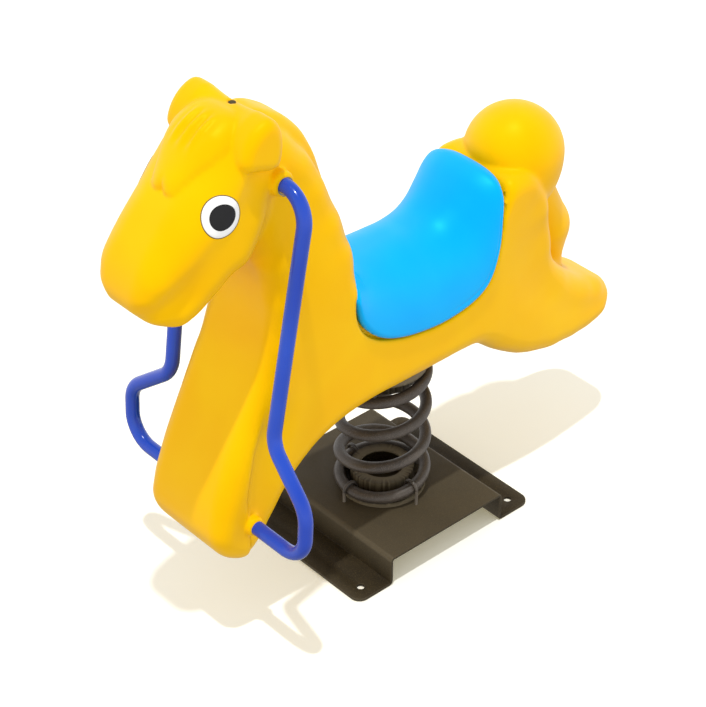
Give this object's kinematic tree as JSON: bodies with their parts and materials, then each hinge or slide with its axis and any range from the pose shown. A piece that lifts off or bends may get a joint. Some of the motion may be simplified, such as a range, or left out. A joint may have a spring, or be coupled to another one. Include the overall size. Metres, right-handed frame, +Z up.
{
  "type": "spring rider",
  "caption": "Playground spring rider: a leaping horse of moulded plastic with a saddle, bent grip and footrest bars, and a coil spring on a folded steel base plate.",
  "frame": {"origin": "on the ground, in the middle of the base plate's bolt holes, under the spring's axis", "axes": "+X to the horse's nose, +Y to the horse's left, +Z up along the spring"},
  "size_m": [1.0693, 0.4894, 0.9812],
  "materials": {
    "dark_powder_coat": "textured dark brown powder coat",
    "spring_coat": "textured dark brown powder coat",
    "zinc_steel": "zinc plated",
    "insert_brass": "plain",
    "yellow_plastic": "satin, rotational moulding",
    "sky_blue_plastic": "satin gloss",
    "blue_tube": "gloss blue powder coat",
    "eye_white": "gloss",
    "eye_black": "gloss",
    "vent_rubber": "matt"
  },
  "bodies": {
    "base": {"base_plate": "dark_powder_coat", "lower_spring_seat": "dark_powder_coat", "lower_spring_clamps": "dark_powder_coat", "lower_clamp_washers": "zinc_steel", "lower_clamp_nuts": "zinc_steel"},
    "spring": {"coil_spring": "spring_coat"},
    "rider": {"upper_spring_seat": "dark_powder_coat", "upper_mount_plate": "dark_powder_coat", "upper_spring_clamps": "dark_powder_coat", "upper_clamp_washers": "zinc_steel", "upper_clamp_nuts": "zinc_steel", "body_bolts": "zinc_steel", "body_bolt_washers": "zinc_steel", "body_inserts": "insert_brass", "horse_body": "yellow_plastic", "saddle": "sky_blue_plastic", "saddle_bolts": "zinc_steel", "saddle_bolt_washers": "zinc_steel", "saddle_inserts": "insert_brass", "left_handle": "blue_tube", "right_handle": "blue_tube", "upper_cross_sleeve": "zinc_steel", "lower_cross_sleeve": "zinc_steel", "handle_set_screws": "zinc_steel", "left_eye_white": "eye_white", "left_pupil": "eye_black", "right_eye_white": "eye_white", "right_pupil": "eye_black", "vent_plug": "vent_rubber"}
  },
  "joints": [
    {"name": "rock_fore_aft", "type": "hinge", "parent": "base", "child": "spring", "pos_m": [0, 0, 0.2], "axis": [0, 1, 0], "range_deg": [-15, 15], "stiffness_Nm_per_rad": 900, "deforming": ["coil_spring"]},
    {"name": "rock_side", "type": "hinge", "parent": "spring", "child": "rider", "pos_m": [0, 0, 0.2], "axis": [1, 0, 0], "range_deg": [-12, 12], "stiffness_Nm_per_rad": 900, "deforming": ["coil_spring"]}
  ]
}
